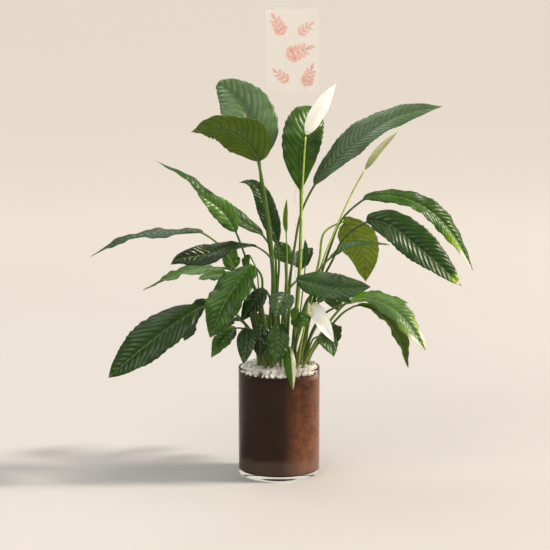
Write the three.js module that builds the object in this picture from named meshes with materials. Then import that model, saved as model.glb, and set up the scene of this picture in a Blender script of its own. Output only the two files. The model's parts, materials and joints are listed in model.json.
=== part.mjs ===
// A peace lily (Spathiphyllum) growing in a clear glass cylinder vase.
// Millimetres, +Z up. The origin is the centre of the vase's flat underside, and the
// plant's front faces -Y. Every leaf is one closed body: its petiole and its blade.
import * as THREE from 'three';

// ---- Driving sizes -------------------------------------------------------------------
const FIT_GAP = 0.3;          // clearance between pieces that lie against each other

const VASE_DIAMETER = 150;
const VASE_HEIGHT = 203;
const VASE_WALL = 4;
const VASE_FLOOR = 9;
const VASE_FOOT_RADIUS = 6;   // rounded outer edge at the foot
const VASE_INNER_RADIUS = 5;  // rounded inner corner at the floor
const VASE_SIDES = 48;

const PEBBLE_DEPTH = 12;      // depth of the pebble layer at its thinnest
const PEBBLE_CROWN = 3;       // how far the pebbles stand over the rim
const PEBBLE_BUMP = 1.4;      // height of single pebbles around the planting
const PEBBLE_SPACING = 9;
const SOIL_LUMP = 1.5;         // height of the soil's lumps
const SOIL_LUMP_X = 11;       // and how far apart they are, over 2 pi
const SOIL_LUMP_Y = 13;
const SOIL_SLOPE = 4;         // how much lower the soil is at one side
const PLANTING_RADIUS = 55;   // the stems all leave the pebbles inside this circle
const FILL_SIDES = 40;
const PLANT_RIM = 203;        // rim height that the plant's points are written for
const PLANT_BORE = 70.7;      // radius of the fill that its roots are written for

const LEAF_EDGE = 0.8;        // thickness of a blade at its edge
const MIDRIB_DEPTH = 1.6;     // how far the midrib stands out under a blade
const PETIOLE_BASE = 3.0;     // radius of a full petiole where it leaves the pebbles
const PETIOLE_TOP = 1.9;      // its radius where the blade begins
const PETIOLE_RINGS = 6;
const KEEL_TAPER = 0.75;      // share of the midrib's depth lost by the tip
const BASE_FOLD = 0.3;        // share of a blade's fold at its base
const FOLD_GROWTH = 2;        // how fast it reaches the whole fold
const SPINE_STEPS = 400;      // samples along a leaf's line
const FLOWER_STALK_RADIUS = 2.2;
const STALK_RINGS = 10;
const STALK_TAPER = 0.35;
const SPADIX_RADIUS = 4;
const SPADIX_TAPER = 0.25;
const SPADIX_SIDES = 10;
const BLADE_BASE = 0.72;      // lower is a rounder blade base
const BLADE_TIP = 1.05;       // higher is a longer drip tip
const BLADE_STATIONS = [0.03, 0.09, 0.18, 0.29, 0.41, 0.54, 0.67, 0.79, 0.89, 0.96];

const TOPPER_WIDTH = 98;
const TOPPER_HEIGHT = 152;
const TOPPER_THICKNESS = 2;
const TOPPER_CORNER = 6;
const TOPPER_STEM_WIDTH = 4;
const TOPPER_RISE = 652;      // top of the card above the rim
const TOPPER_OFFSET = 6;      // how far the card's middle is left of its stem
const TOPPER_Y = 52;
const TOPPER_STEM_X = 30;

const VASE_RADIUS = VASE_DIAMETER / 2;
const BORE_RADIUS = VASE_RADIUS - VASE_WALL;
const FILL_RADIUS = BORE_RADIUS - FIT_GAP;
const PEBBLE_TOP = VASE_HEIGHT + PEBBLE_CROWN;
const STEM_FOOT = PEBBLE_TOP + FIT_GAP;
const PLANT_LIFT = VASE_HEIGHT - PLANT_RIM;
const ROOT_SPREAD = FILL_RADIUS / PLANT_BORE;

// ---- Finishes ------------------------------------------------------------------------
const finish = (color, roughness, metalness = 0) =>
  new THREE.MeshStandardMaterial({ color, roughness, metalness });
const GLASS = new THREE.MeshStandardMaterial({
  color: 0xf2f7f5, roughness: 0.03, transparent: true, opacity: 0.3,
});
const CLEAR_ACRYLIC = new THREE.MeshStandardMaterial({
  color: 0xf6efe9, roughness: 0.08, transparent: true, opacity: 0.35,
});
const SOIL = finish(0x33201a, 0.95);
const PEBBLE = finish(0xe8e3d8, 0.7);
const LEAF = finish(0x2c4f22, 0.38);
const YOUNG_LEAF = finish(0x6b8a34, 0.42);
const STALK = finish(0x86a045, 0.45);
const SPATHE = finish(0xf1eee4, 0.5);
const YOUNG_SPATHE = finish(0xd2d6a0, 0.5);
const SPADIX = finish(0xc9bd72, 0.7);

const plant = new THREE.Group();

function add(name, geometry, material) {
  const mesh = new THREE.Mesh(geometry, material);
  mesh.name = name;
  plant.add(mesh);
  return mesh;
}

// ---- Vase, soil and pebbles ----------------------------------------------------------
function arc(cx, cy, radius, from, to, steps) {
  return Array.from({ length: steps + 1 }, (_, i) => {
    const a = THREE.MathUtils.degToRad(from + (to - from) * i / steps);
    return new THREE.Vector2(cx + radius * Math.cos(a), cy + radius * Math.sin(a));
  });
}

function vase() {
  const foot = VASE_FOOT_RADIUS;
  const corner = VASE_INNER_RADIUS;
  const lip = VASE_WALL / 2;
  const profile = [
    new THREE.Vector2(0, 0),
    ...arc(VASE_RADIUS - foot, foot, foot, -90, 0, 4),
    ...arc(VASE_RADIUS - lip, VASE_HEIGHT - lip, lip, 0, 180, 6),
    ...arc(BORE_RADIUS - corner, VASE_FLOOR + corner, corner, 0, -90, 3),
    new THREE.Vector2(0, VASE_FLOOR),
  ];
  return new THREE.LatheGeometry(profile, VASE_SIDES).rotateX(Math.PI / 2);
}

// A round closed body between two height surfaces, on rings that widen to the bore.
const FILL_RINGS = [0.2, 0.4, 0.56, 0.7, 0.8, 0.88, 0.94, 0.975, 1].map((f) => f * FILL_RADIUS);

function fillBody(lowAt, highAt) {
  const points = [];
  const faces = [];
  const n = FILL_SIDES;
  for (const heightAt of [lowAt, highAt]) {
    points.push([0, 0, heightAt(0, 0)]);
    for (const r of FILL_RINGS) {
      for (let i = 0; i < n; i++) {
        const a = 2 * Math.PI * i / n;
        const [x, y] = [r * Math.cos(a), r * Math.sin(a)];
        points.push([x, y, heightAt(x, y)]);
      }
    }
  }
  const layer = 1 + FILL_RINGS.length * n;
  const at = (side, ring, i) => side * layer + (ring < 0 ? 0 : 1 + ring * n + i % n);
  const quad = (a, b, c, d) => faces.push(a, b, c, a, c, d);
  for (let i = 0; i < n; i++) {
    faces.push(at(1, -1, 0), at(1, 0, i), at(1, 0, i + 1));
    faces.push(at(0, -1, 0), at(0, 0, i + 1), at(0, 0, i));
    for (let ring = 0; ring < FILL_RINGS.length - 1; ring++) {
      quad(at(1, ring, i), at(1, ring + 1, i), at(1, ring + 1, i + 1), at(1, ring, i + 1));
      quad(at(0, ring, i), at(0, ring, i + 1), at(0, ring + 1, i + 1), at(0, ring + 1, i));
    }
    const last = FILL_RINGS.length - 1;
    quad(at(0, last, i), at(0, last, i + 1), at(1, last, i + 1), at(1, last, i));
  }
  return closedGeometry(points, faces);
}

function closedGeometry(points, faces) {
  const geometry = new THREE.BufferGeometry();
  geometry.setAttribute('position', new THREE.Float32BufferAttribute(points.flat(), 3));
  geometry.setIndex(faces);
  geometry.computeVertexNormals();
  return geometry;
}

// The floor of the fill, which rises round the vase's inner corner.
function fillFloor(x, y) {
  const corner = VASE_INNER_RADIUS;
  const past = Math.hypot(x, y) - (FILL_RADIUS - corner);
  const rise = past > 0 ? corner - Math.sqrt(Math.max(0, corner * corner - past * past)) : 0;
  return VASE_FLOOR + FIT_GAP + rise;
}

function soilSurface(x, y) {
  const slope = -SOIL_SLOPE * (x / FILL_RADIUS);
  const lumps = SOIL_LUMP * Math.sin(x / SOIL_LUMP_X + 1) * Math.cos(y / SOIL_LUMP_Y);
  return VASE_HEIGHT - PEBBLE_DEPTH + slope + lumps;
}

function pebbleSurface(x, y) {
  const r = Math.hypot(x, y);
  const outside = THREE.MathUtils.smoothstep(r, PLANTING_RADIUS, FILL_RADIUS);
  const bump = Math.sin(2 * Math.PI * x / PEBBLE_SPACING + y) * Math.cos(2 * Math.PI * y / PEBBLE_SPACING);
  return PEBBLE_TOP + outside * (PEBBLE_BUMP * bump - PEBBLE_BUMP - PEBBLE_CROWN);
}

add('glass_vase', vase(), GLASS);
add('soil', fillBody(fillFloor, soilSurface), SOIL);
add('pebble_layer', fillBody((x, y) => soilSurface(x, y) + FIT_GAP, pebbleSurface), PEBBLE);

// ---- Clear topper on a stick ---------------------------------------------------------
function topper() {
  const stemX = TOPPER_STEM_X * ROOT_SPREAD;
  const left = stemX - TOPPER_OFFSET - TOPPER_WIDTH / 2;
  const right = left + TOPPER_WIDTH;
  const top = VASE_HEIGHT + TOPPER_RISE;
  const bottom = top - TOPPER_HEIGHT;
  const c = TOPPER_CORNER;
  const stem = [stemX - TOPPER_STEM_WIDTH / 2, stemX + TOPPER_STEM_WIDTH / 2];
  const outline = new THREE.Shape();
  outline.moveTo(stem[0], STEM_FOOT);
  outline.lineTo(stem[1], STEM_FOOT);
  outline.lineTo(stem[1], bottom);
  outline.lineTo(right - c, bottom);
  outline.absarc(right - c, bottom + c, c, -Math.PI / 2, 0, false);
  outline.absarc(right - c, top - c, c, 0, Math.PI / 2, false);
  outline.absarc(left + c, top - c, c, Math.PI / 2, Math.PI, false);
  outline.absarc(left + c, bottom + c, c, Math.PI, 1.5 * Math.PI, false);
  outline.lineTo(stem[0], bottom);
  const options = { depth: TOPPER_THICKNESS, bevelEnabled: false, curveSegments: 5 };
  const sheet = new THREE.ExtrudeGeometry(outline, options);
  return sheet.rotateX(Math.PI / 2).translate(0, TOPPER_Y * ROOT_SPREAD + TOPPER_THICKNESS / 2, 0);
}

add('clear_topper', topper(), CLEAR_ACRYLIC);

// ---- Leaves, stalks and spathes ------------------------------------------------------
// A ring has six points: upper midline, right edge (upper, lower), lower midline,
// left edge (lower, upper). The same ring is a round petiole and a thin folded blade.
function ringPoints({ centre, side, face, half, edge, top, keel, fold }) {
  const out = side.clone().multiplyScalar(Math.cos(fold) * half);
  const lift = face.clone().multiplyScalar(Math.sin(fold) * half);
  const rim = face.clone().multiplyScalar(edge);
  const rightEdge = centre.clone().add(out).add(lift);
  const leftEdge = centre.clone().sub(out).add(lift);
  return [
    centre.clone().addScaledVector(face, top),
    rightEdge.clone().add(rim),
    rightEdge.clone().sub(rim),
    centre.clone().addScaledVector(face, -keel),
    leftEdge.clone().sub(rim),
    leftEdge.clone().add(rim),
  ];
}

function skin(rings, first, last) {
  const points = [first, ...rings.flat(), last].map((p) => p.toArray());
  const faces = [];
  const at = (ring, i) => 1 + ring * 6 + i % 6;
  const end = points.length - 1;
  for (let i = 0; i < 6; i++) {
    faces.push(0, at(0, i + 1), at(0, i));
    faces.push(end, at(rings.length - 1, i), at(rings.length - 1, i + 1));
    for (let ring = 0; ring < rings.length - 1; ring++) {
      faces.push(at(ring, i), at(ring + 1, i + 1), at(ring + 1, i));
      faces.push(at(ring, i), at(ring, i + 1), at(ring + 1, i + 1));
    }
  }
  return closedGeometry(points, faces);
}

// Half-width of a blade along its length: round at the base, drawn out to a drip tip.
function bladeShape(t) {
  const outline = (s) => Math.pow(s, BLADE_BASE) * Math.pow(1 - s, BLADE_TIP);
  return outline(t) / outline(BLADE_BASE / (BLADE_BASE + BLADE_TIP));
}

function vector(list) {
  return new THREE.Vector3(...list);
}

// A point of the plant, which stands on a taller or shorter vase with all its height.
function place([x, y, z]) {
  return new THREE.Vector3(x, y, z + PLANT_LIFT);
}

// A line through the stalk's points and on along the blade's midrib.
function spine(stalk, blade) {
  const curve = new THREE.CatmullRomCurve3([...stalk, ...blade].map(place), false, 'centripetal');
  curve.arcLengthDivisions = SPINE_STEPS;
  const lengths = curve.getLengths();
  const count = stalk.length + blade.length - 1;
  const split = lengths[Math.round(SPINE_STEPS * stalk.length / count)] / lengths[SPINE_STEPS];
  return { curve, split };
}

function frameAt(curve, u, face) {
  const along = curve.getTangentAt(u);
  const up = face.clone().addScaledVector(along, -face.dot(along)).normalize();
  const side = new THREE.Vector3().crossVectors(along, up);
  return { centre: curve.getPointAt(u), along, face: up, side };
}

// A petiole or stalk is cut level where it stands on the pebbles.
function footFrame(foot, face) {
  const up = new THREE.Vector3(0, 0, 1);
  const level = new THREE.Vector3(face.x, face.y, 0).normalize();
  return { centre: place(foot), face: level, side: new THREE.Vector3().crossVectors(up, level) };
}

// The petiole's rings keep the blade's own turn all the way down, without a twist.
function petioleRings(curve, split, foot, face, girth) {
  const rings = [];
  let turn = frameAt(curve, split, face).face;
  for (let i = PETIOLE_RINGS - 1; i >= 0; i--) {
    const t = i / PETIOLE_RINGS;
    const frame = i === 0 ? footFrame(foot, turn) : frameAt(curve, split * t, turn);
    turn = frame.face;
    rings.unshift(ringPoints({
      ...frame, ...round(girth * THREE.MathUtils.lerp(PETIOLE_BASE, PETIOLE_TOP, t)),
    }));
  }
  return rings;
}

function round(radius) {
  const half = radius * Math.cos(Math.PI / 6);
  return { half, edge: radius / 2, top: radius, keel: radius, fold: 0 };
}

function leafGeometry({ stalk, blade, face, tipFace = face, width, fold = 8, girth = 1 }) {
  const { curve, split } = spine(stalk, blade);
  const [faceBase, faceTip] = [vector(face), vector(tipFace)];
  const foldAngle = THREE.MathUtils.degToRad(fold);
  const rings = stalk.length ? petioleRings(curve, split, stalk[0], faceBase, girth) : [];
  for (const t of BLADE_STATIONS) {
    const faceHere = faceBase.clone().lerp(faceTip, t);
    const half = Math.max(width / 2 * bladeShape(t), girth * PETIOLE_TOP);
    rings.push(ringPoints({
      ...frameAt(curve, split + (1 - split) * t, faceHere),
      half,
      edge: LEAF_EDGE / 2,
      top: LEAF_EDGE / 2,
      keel: LEAF_EDGE / 2 + MIDRIB_DEPTH * girth * (1 - KEEL_TAPER * t),
      fold: foldAngle * Math.min(1, BASE_FOLD + FOLD_GROWTH * t),
    }));
  }
  return skin(rings, curve.getPointAt(0), curve.getPointAt(1));
}

// stalk points: [x, y] is where it leaves the pebbles, the others are [x, y, z]
const rooted = ([foot, ...rest]) => [
  [foot[0] * ROOT_SPREAD, foot[1] * ROOT_SPREAD, STEM_FOOT - PLANT_LIFT], ...rest];

function leaf(name, spec, material = LEAF) {
  add(name, leafGeometry({ ...spec, stalk: rooted(spec.stalk) }), material);
}

// The upper storey: the tall leaves that carry the crown.
leaf('leaf_top_back_left', {
  stalk: [[-6, 8], [-14, 9, 400], [-26, 11, 482], [-34, 14, 552]],
  blade: [[-36, 18, 582], [-48, 28, 638], [-74, 54, 688], [-110, 84, 713], [-118, 96, 706]],
  face: [0.15, -1, 0.35], tipFace: [-0.3, -0.7, 0.6], width: 98, girth: 1.3,
});
leaf('leaf_top_front_left', {
  stalk: [[-6, -8], [-11, -12, 383], [-20, -15, 485], [-31, -18, 548]],
  blade: [[-37, -26, 584], [-50, -46, 612], [-78, -76, 637], [-114, -102, 650], [-155, -120, 644]],
  face: [0.1, 0.9, 0.4], tipFace: [0, 0.6, 0.8], width: 90, fold: 10, girth: 1.3,
});
leaf('leaf_top_centre', {
  stalk: [[22, 4], [36, 6, 379], [39, 8, 464]],
  blade: [[39, 10, 524], [38, 14, 576], [44, 22, 626], [55, 44, 662], [66, 76, 676]],
  face: [0, -1, 0.2], tipFace: [0, -0.9, 0.5], width: 74,
});
leaf('leaf_top_right', {
  stalk: [[12, 15], [22, 18, 377], [36, 22, 462], [48, 24, 511]],
  blade: [[63, 26, 535], [121, 34, 597], [203, 44, 653], [301, 60, 677]],
  face: [-0.3, -0.7, 0.7], tipFace: [-0.1, -0.6, 0.8], width: 62,
});
leaf('leaf_upright_back', {
  stalk: [[0, 24], [-4, 28, 321], [0, 34, 391]],
  blade: [[-3, 38, 424], [-18, 46, 472], [-34, 56, 516], [-54, 66, 536], [-75, 76, 534]],
  face: [0.4, -0.9, 0.1], tipFace: [-0.2, -0.5, 0.8], width: 38,
});

// The right side.
leaf('leaf_right_arching', {
  stalk: [[31, 24], [85, 36, 391], [116, 50, 469], [135, 58, 494]],
  blade: [[153, 62, 505], [215, 70, 509], [276, 76, 483], [325, 80, 434], [363, 84, 368]],
  face: [-0.1, -0.6, 0.8], tipFace: [0.6, -0.7, 0.4], width: 46,
});
leaf('leaf_right_broad', {
  stalk: [[37, -6], [71, -10, 346], [103, -22, 414], [132, -30, 465]],
  blade: [[157, -36, 477], [198, -44, 471], [246, -58, 436], [289, -70, 400], [326, -80, 365]],
  face: [0.15, -0.9, 0.4], tipFace: [0.4, -0.85, 0.4], width: 68,
});
leaf('leaf_right_back_hanging', {
  stalk: [[22, 30], [61, 40, 338], [76, 48, 400], [89, 56, 455]],
  blade: [[119, 70, 464], [143, 84, 434], [158, 94, 398], [163, 100, 344]],
  face: [0.1, 1, 0.2], tipFace: [0.3, 1, 0.1], width: 72,
}, YOUNG_LEAF);
leaf('leaf_right_back_level', {
  stalk: [[46, 10], [61, 7, 340], [76, 8, 386]],
  blade: [[92, 12, 402], [140, 20, 426], [205, 34, 423]],
  face: [0, -0.15, 1], width: 34,
});
leaf('leaf_centre_right', {
  stalk: [[12, -18], [18, -22, 311], [18, -27, 354]],
  blade: [[30, -34, 368], [65, -56, 364], [109, -76, 359], [164, -92, 365]],
  face: [0, -0.85, 0.5], tipFace: [0.1, -0.8, 0.5], width: 54,
});
leaf('leaf_centre_right_under', {
  stalk: [[26, -20], [38, -22, 292], [54, -30, 336]],
  blade: [[67, -40, 350], [97, -56, 345], [131, -66, 330]],
  face: [0, -0.3, 0.9], width: 44,
});
leaf('leaf_right_low_gloss', {
  stalk: [[45, -14], [62, -22, 243], [89, -28, 286], [120, -34, 324]],
  blade: [[150, -38, 335], [192, -46, 326], [228, -54, 297], [265, -60, 244]],
  face: [0, -0.5, 0.8], tipFace: [0.5, -0.7, 0.4], width: 48,
});
leaf('leaf_right_low_behind', {
  stalk: [[46, 2], [62, 6, 269], [87, 18, 300]],
  blade: [[128, 30, 315], [173, 48, 324], [243, 72, 308]],
  face: [0.1, -0.2, 1], width: 46,
});
leaf('leaf_right_low_hanging', {
  stalk: [[51, -4], [59, -4, 226], [79, -2, 256], [112, 2, 296]],
  blade: [[141, 4, 316], [182, 6, 304], [217, 8, 265], [239, 10, 197]],
  face: [0.1, 0.4, 0.9], tipFace: [0.85, 0.4, 0.3], width: 52,
});

// The left side.
leaf('leaf_far_left', {
  stalk: [[-24, 10], [-38, 12, 287], [-72, 26, 359], [-105, 40, 417]],
  blade: [[-137, 50, 443], [-202, 62, 440], [-287, 78, 426], [-354, 92, 392]],
  face: [0, -0.2, 1], width: 48,
});
leaf('leaf_left_second', {
  stalk: [[-8, -18], [-13, -20, 329], [-15, -24, 407], [-29, -29, 428]],
  blade: [[-40, -34, 432], [-85, -54, 432], [-133, -76, 420], [-178, -95, 416], [-194, -99, 406]],
  face: [0, 0.1, 1], tipFace: [-0.2, -1, 0], width: 46,
});
leaf('leaf_left_twisted', {
  stalk: [[3, 14], [-4, 18, 343], [-12, 24, 421]],
  blade: [[-28, 26, 442], [-79, 32, 474], [-128, 42, 508], [-177, 50, 549], [-226, 58, 576]],
  face: [0.3, -0.85, 0.35], tipFace: [0.3, -0.1, 1], width: 36,
});
leaf('leaf_left_lime', {
  stalk: [[-18, -4], [-40, -8, 327], [-62, -18, 410]],
  blade: [[-78, -24, 455], [-99, -34, 492], [-147, -54, 530]],
  face: [0.1, -0.9, 0.3], width: 41,
}, YOUNG_LEAF);
leaf('leaf_left_olive', {
  stalk: [[-34, 12], [-46, 4, 290], [-72, 4, 362], [-97, 6, 388]],
  blade: [[-119, 9, 385], [-164, 13, 379], [-204, 18, 363], [-251, 22, 340]],
  face: [-0.2, -0.5, 0.85], tipFace: [-0.5, 0.1, 0.8], width: 46,
}, YOUNG_LEAF);
leaf('leaf_left_olive_short', {
  stalk: [[-37, -8], [-50, -11, 291], [-75, -14, 354]],
  blade: [[-93, -18, 375], [-118, -22, 376], [-147, -28, 369]],
  face: [0, -0.5, 0.85], width: 36,
}, YOUNG_LEAF);
leaf('leaf_left_gloss', {
  stalk: [[-20, -24], [-30, -29, 294], [-31, -33, 360], [-35, -40, 390]],
  blade: [[-45, -52, 400], [-71, -74, 372], [-99, -96, 333], [-123, -112, 276]],
  face: [-0.35, -0.6, 0.7], tipFace: [-0.2, -0.95, 0.2], width: 70,
});
leaf('leaf_left_large', {
  stalk: [[-27, -14], [-42, -18, 255], [-80, -24, 304], [-117, -30, 320]],
  blade: [[-143, -36, 318], [-194, -58, 289], [-251, -82, 247], [-307, -100, 201]],
  face: [-0.25, -0.85, 0.4], width: 76,
});
leaf('leaf_left_large_behind', {
  stalk: [[-32, 3], [-54, 4, 269], [-94, 14, 309]],
  blade: [[-131, 22, 319], [-156, 34, 290], [-177, 46, 241]],
  face: [-0.3, -0.5, 0.8], width: 60,
});
leaf('leaf_left_tip_up', {
  stalk: [[-24, 25], [-52, 34, 302], [-76, 46, 347]],
  blade: [[-85, 50, 374], [-89, 56, 396], [-82, 66, 415]],
  face: [0.3, -0.8, 0.4], width: 36,
}, YOUNG_LEAF);
leaf('leaf_left_hooked', {
  stalk: [[-16, -14], [-35, -20, 329], [-41, -24, 385], [-46, -27, 408]],
  blade: [[-53, -32, 415], [-59, -37, 406], [-60, -40, 388]],
  face: [-0.5, -0.4, 0.6], tipFace: [-0.2, -0.95, 0.1], width: 17, girth: 0.6,
}, YOUNG_LEAF);

// The front and the middle of the clump.
leaf('leaf_front_left_low', {
  stalk: [[-30, -28], [-42, -40, 250], [-60, -52, 280]],
  blade: [[-78, -58, 285], [-100, -74, 266], [-122, -90, 236]],
  face: [-0.4, -0.7, 0.5], width: 38, girth: 0.8,
});
leaf('leaf_front_left_dark', {
  stalk: [[-24, -36], [-34, -47, 245], [-49, -61, 281]],
  blade: [[-57, -71, 288], [-59, -94, 260], [-64, -110, 228]],
  face: [-0.1, -0.6, 0.8], tipFace: [-0.1, -0.95, 0.2], width: 34, girth: 0.8,
});
leaf('leaf_front_centre_left', {
  stalk: [[-14, -40], [-20, -48, 251], [-27, -56, 284]],
  blade: [[-31, -63, 291], [-34, -76, 266], [-36, -86, 235]],
  face: [0, -0.5, 0.85], tipFace: [0, -0.95, 0.2], width: 36, girth: 0.8,
});
leaf('leaf_front_centre', {
  stalk: [[2, -38], [2, -47, 251], [0, -57, 287]],
  blade: [[0, -66, 294], [-2, -88, 263], [-6, -103, 227]],
  face: [0, -0.5, 0.85], tipFace: [0, -0.95, 0.2], width: 42, girth: 0.8,
});
leaf('leaf_front_dark', {
  stalk: [[-12, -30], [-17, -38, 290], [-17, -50, 344]],
  blade: [[-24, -57, 356], [-44, -73, 333], [-69, -88, 302]],
  face: [-0.2, -0.5, 0.8], tipFace: [-0.2, -0.9, 0.4], width: 38,
});
leaf('leaf_front_grey_sheen', {
  stalk: [[2, -26], [5, -33, 290], [10, -46, 340]],
  blade: [[10, -56, 349], [5, -80, 338], [-7, -104, 313]],
  face: [0, -0.75, 0.65], width: 46,
});
leaf('leaf_over_rim', {
  stalk: [[14, -44], [18, -48, 232], [15, -56, 250]],
  blade: [[16, -64, 253], [19, -VASE_RADIUS - 7, 227], [25, -VASE_RADIUS - 17, 177]],
  face: [0, -1, 0.3], width: 22, girth: 0.6,
}, YOUNG_LEAF);
leaf('leaf_front_right_small', {
  stalk: [[42, -34], [53, -46, 241], [63, -56, 265]],
  blade: [[72, -62, 270], [88, -76, 262], [98, -92, 238]],
  face: [0.2, -0.7, 0.6], tipFace: [0.5, -0.8, 0.2], width: 36, girth: 0.8,
});
leaf('leaf_centre_lime_small', {
  stalk: [[24, -36], [33, -45, 269], [31, -51, 308]],
  blade: [[30, -59, 322], [28, -68, 317], [24, -75, 300]],
  face: [-0.1, -0.6, 0.8], tipFace: [-0.1, -0.95, 0.2], width: 16, girth: 0.6,
}, YOUNG_LEAF);
leaf('leaf_centre_olive', {
  stalk: [[30, -43], [30, -47, 240], [26, -52, 279]],
  blade: [[26, -58, 288], [38, -70, 299], [55, -84, 293]],
  face: [0.2, -0.8, 0.5], width: 34, girth: 0.7,
}, YOUNG_LEAF);
leaf('leaf_centre_bright', {
  stalk: [[34, -17], [49, -16, 273], [60, -22, 324]],
  blade: [[69, -27, 330], [80, -36, 335], [90, -46, 332]],
  face: [0.1, -0.7, 0.6], width: 28, girth: 0.7,
}, YOUNG_LEAF);
leaf('leaf_centre_narrow', {
  stalk: [[28, 40], [40, 45, 300], [48, 44, 374]],
  blade: [[49, 44, 385], [50, 46, 414], [48, 50, 432]],
  face: [-0.6, -0.7, 0.1], width: 14, girth: 0.6,
}, YOUNG_LEAF);
leaf('leaf_centre_back', {
  stalk: [[9, 35], [11, 42, 319], [13, 48, 365]],
  blade: [[12, 53, 387], [5, 66, 408], [-8, 84, 421]],
  face: [-0.2, -0.8, 0.5], width: 34,
});

// The back of the clump.
leaf('leaf_back_tall', {
  stalk: [[14, 46], [16, 62, 300], [20, 84, 356]],
  blade: [[24, 102, 376], [32, 152, 392], [44, 206, 350]],
  face: [0, 0.3, 1], tipFace: [0.1, 0.9, 0.4], width: 64,
});
leaf('leaf_back_left', {
  stalk: [[-14, 36], [-30, 66, 296], [-44, 92, 334]],
  blade: [[-52, 106, 346], [-76, 150, 346], [-98, 192, 300]],
  face: [-0.2, 0.3, 1], tipFace: [-0.4, 0.8, 0.4], width: 60,
});
leaf('leaf_back_right', {
  stalk: [[20, 50], [42, 78, 280], [58, 104, 312]],
  blade: [[66, 118, 322], [90, 158, 318], [112, 196, 272]],
  face: [0.2, 0.3, 1], tipFace: [0.4, 0.8, 0.4], width: 58,
});
leaf('leaf_back_low', {
  stalk: [[-4, 46], [-10, 68, 248], [-14, 86, 270]],
  blade: [[-16, 96, 276], [-24, 132, 272], [-32, 164, 232]],
  face: [-0.1, 0.3, 1], tipFace: [-0.1, 0.9, 0.4], width: 50, girth: 0.8,
});
leaf('leaf_back_low_right', {
  stalk: [[42, 40], [60, 62, 246], [72, 78, 264]],
  blade: [[78, 86, 268], [98, 112, 258], [112, 132, 222]],
  face: [0.3, 0.2, 1], tipFace: [0.6, 0.7, 0.4], width: 42, girth: 0.8,
});
leaf('leaf_back_low_left', {
  stalk: [[-34, 36], [-54, 56, 250], [-66, 70, 270]],
  blade: [[-72, 78, 274], [-96, 104, 266], [-112, 124, 228]],
  face: [-0.3, 0.2, 1], tipFace: [-0.6, 0.7, 0.4], width: 44, girth: 0.8,
});

// A flower's parts: a bare stalk, a spathe cupped round the spadix, and the spadix.
function stalkGeometry(stalk, end, radius) {
  const last = vector(stalk[stalk.length - 1]);
  const tip = vector(end).add(last.sub(vector(end)).setLength(radius));
  const { curve } = spine(rooted(stalk), [tip.toArray()]);
  const steps = STALK_RINGS - 1;
  const front = new THREE.Vector3(0, -1, 0);
  const rings = [];
  for (let i = 0; i <= steps; i++) {
    const frame = i === 0 ? footFrame(rooted(stalk)[0], front) : frameAt(curve, i / steps, front);
    rings.push(ringPoints({ ...frame, ...round(radius * (1 - STALK_TAPER * i / steps)) }));
  }
  return skin(rings, curve.getPointAt(0), curve.getPointAt(1));
}

// A spathe has no petiole of its own: it starts just clear of the end of its stalk.
function spatheGeometry({ blade, ...shape }) {
  const [start, next] = blade.slice(0, 2).map(vector);
  const heel = start.clone().add(next.sub(start).setLength(2 * FIT_GAP));
  return leafGeometry({ ...shape, stalk: [], blade: [heel.toArray(), ...blade.slice(1)], girth: 0.5 });
}

function spadixGeometry(from, to) {
  const radius = SPADIX_RADIUS;
  const [a, b] = [place(from), place(to)];
  const length = a.distanceTo(b);
  const profile = arc(0, 0, 1, -90, 90, 8).map((p) => new THREE.Vector2(
    Math.max(0, p.x) * radius * (1 - SPADIX_TAPER * p.y), p.y * length / 2));
  profile[0].x = 0;
  profile[8].x = 0;
  const body = new THREE.LatheGeometry(profile, SPADIX_SIDES);
  const turn = new THREE.Quaternion().setFromUnitVectors(
    new THREE.Vector3(0, 1, 0), b.clone().sub(a).normalize());
  return body.applyQuaternion(turn).translate(...a.clone().add(b).multiplyScalar(0.5).toArray());
}

function flower(number, { stalk, blade, face, width, fold, spadix }, material) {
  add(`flower_stalk_${number}`, stalkGeometry(stalk, blade[0], FLOWER_STALK_RADIUS), STALK);
  add(`spathe_${number}`, spatheGeometry({ blade, face, width, fold }), material);
  if (spadix) {
    add(`spadix_${number}`, spadixGeometry(...spadix), SPADIX);
  }
}

flower(1, {
  stalk: [[25, -7], [39, -14, 382], [41, -16, 486], [44, -17, 566]],
  blade: [[48, -18, 630], [73, -20, 674], [102, -18, 724]],
  face: [-0.2, 0.9, 0.1], width: 32, fold: 24,
  spadix: [[52, -7, 642], [64, -8, 672]],
}, SPATHE);
flower(2, {
  stalk: [[32, 14], [76, 23, 382], [112, 36, 471], [138, 44, 526]],
  blade: [[158, 48, 561], [185, 52, 597], [218, 56, 630]],
  face: [0, -0.9, 0.4], width: 15, fold: 30,
}, YOUNG_SPATHE);
flower(3, {
  stalk: [[34, -28], [43, -37, 267], [54, -43, 318]],
  blade: [[62, -48, 330], [76, -64, 300], [99, -80, 262]],
  face: [0.1, -0.9, 0.4], width: 29, fold: 24,
  spadix: [[54, -62, 332], [57, -74, 308]],
}, SPATHE);
leaf('flower_bud', {
  stalk: [[12, 2], [15, 3, 325], [14, 2, 426]],
  blade: [[13, 1, 450], [12, 0, 472], [14, -2, 513]],
  face: [-0.4, -0.9, 0], width: 11, fold: 30, girth: 0.6,
}, YOUNG_LEAF);

export default plant;
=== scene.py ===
"""A peace lily in a clear glass cylinder vase, with white quartz chips on its soil."""
import functools
import json
import math
import random

import bmesh
import bpy
from mathutils import Matrix, Vector, noise


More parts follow.
